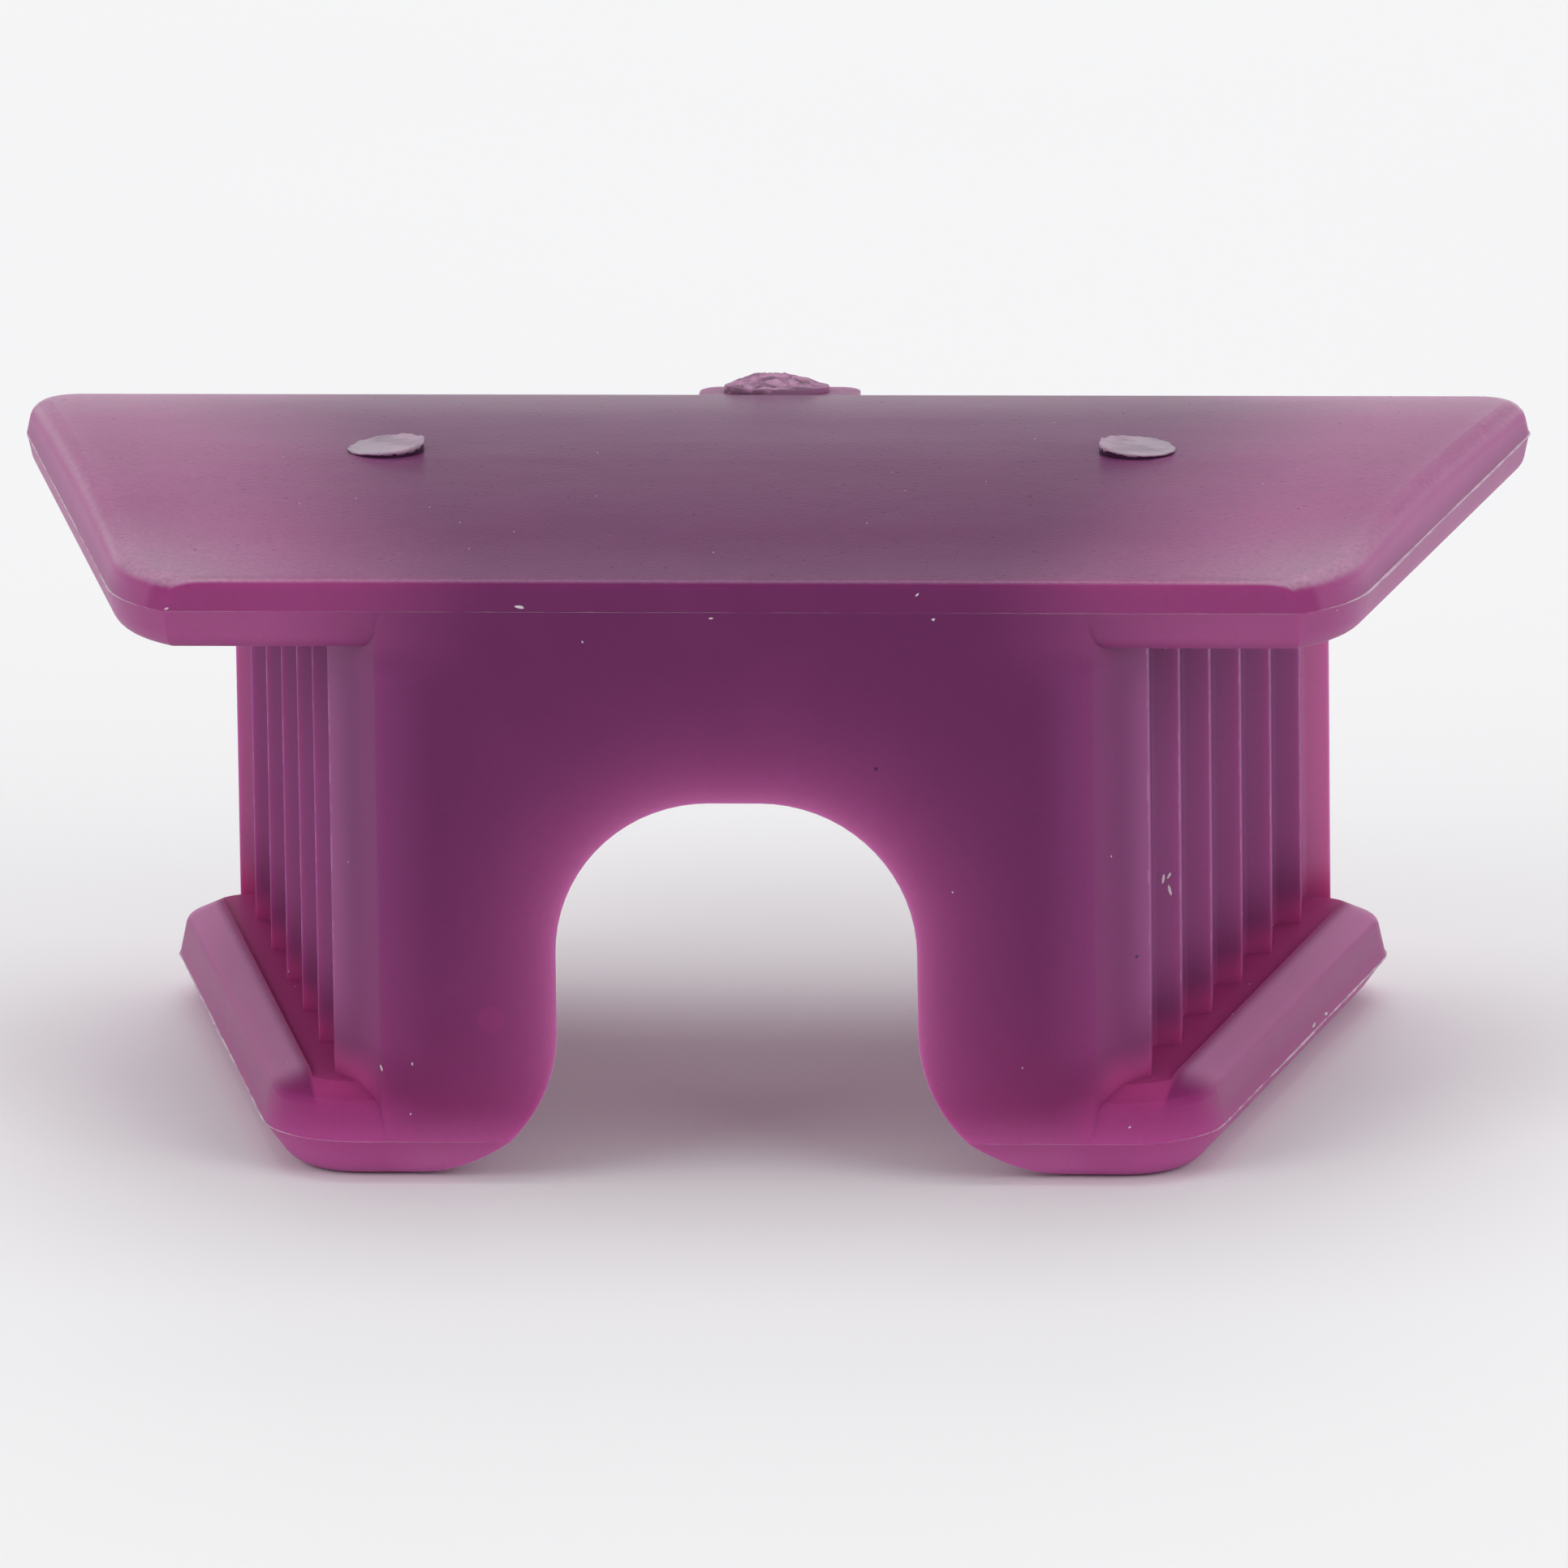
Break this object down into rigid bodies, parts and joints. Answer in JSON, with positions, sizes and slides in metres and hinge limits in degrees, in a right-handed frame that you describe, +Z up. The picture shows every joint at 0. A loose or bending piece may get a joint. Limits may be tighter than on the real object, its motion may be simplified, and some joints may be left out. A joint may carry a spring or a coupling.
{
  "type": "dental bite block",
  "caption": "One-piece silicone mouth prop: a wedge with stepped bite faces at both sides, a wide cheek plate above, lipped feet and an open arch, held between the teeth to keep a jaw open.",
  "frame": {"origin": "middle of the bounding box on the floor plane under the feet", "axes": "+X across the block from one bite face to the other, +Y from the narrow front to the wide back, +Z up through the cheek plate"},
  "size_m": [0.0456, 0.0248, 0.019],
  "materials": {
    "silicone": "matte translucent magenta silicone with a fine moulded grain"
  },
  "bodies": {
    "root": {"bite_block": "silicone"}
  },
  "joints": []
}
